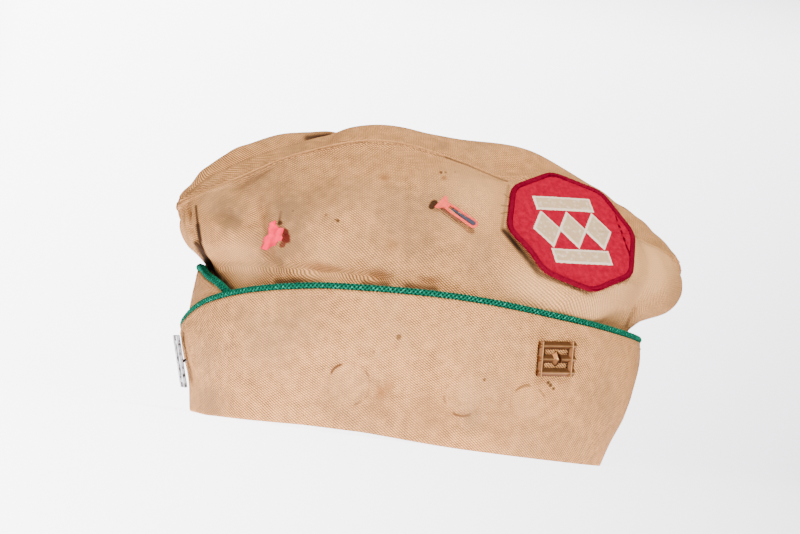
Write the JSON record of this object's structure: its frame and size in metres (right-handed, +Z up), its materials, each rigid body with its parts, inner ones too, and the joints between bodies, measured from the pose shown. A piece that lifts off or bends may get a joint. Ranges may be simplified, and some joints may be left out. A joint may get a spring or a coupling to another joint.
{
  "type": "garrison cap",
  "caption": "Cotton twill garrison cap with a leaf-shaped top, a turned-up curtain edged with green cord, a sewn patch, rank bars and a brass pin.",
  "frame": {"origin": "on the ground under the middle of the whole cap's box", "axes": "+Z up, +X towards the rear of the cap, -X its front, -Y the wearer's left"},
  "size_m": [0.2558, 0.1742, 0.1489],
  "materials": {
    "twill": "worn tan cotton twill",
    "piping": "braided green cord",
    "patch": "embroidered, with a wound edge",
    "lining": "torn plain weave",
    "brass": "tarnished",
    "silver": "polished, slightly dulled",
    "clasp": "coppery, worn"
  },
  "bodies": {
    "root": {"crown_left": "twill", "crown_right": "twill", "crown_top": "twill", "curtain_left": "twill", "curtain_right": "twill", "piping_left": "piping", "piping_right": "piping", "patch": "patch", "lining_scrap": "lining", "brass_pin": "brass", "rank_bars": "silver", "pin_clasp": "clasp"}
  },
  "joints": []
}
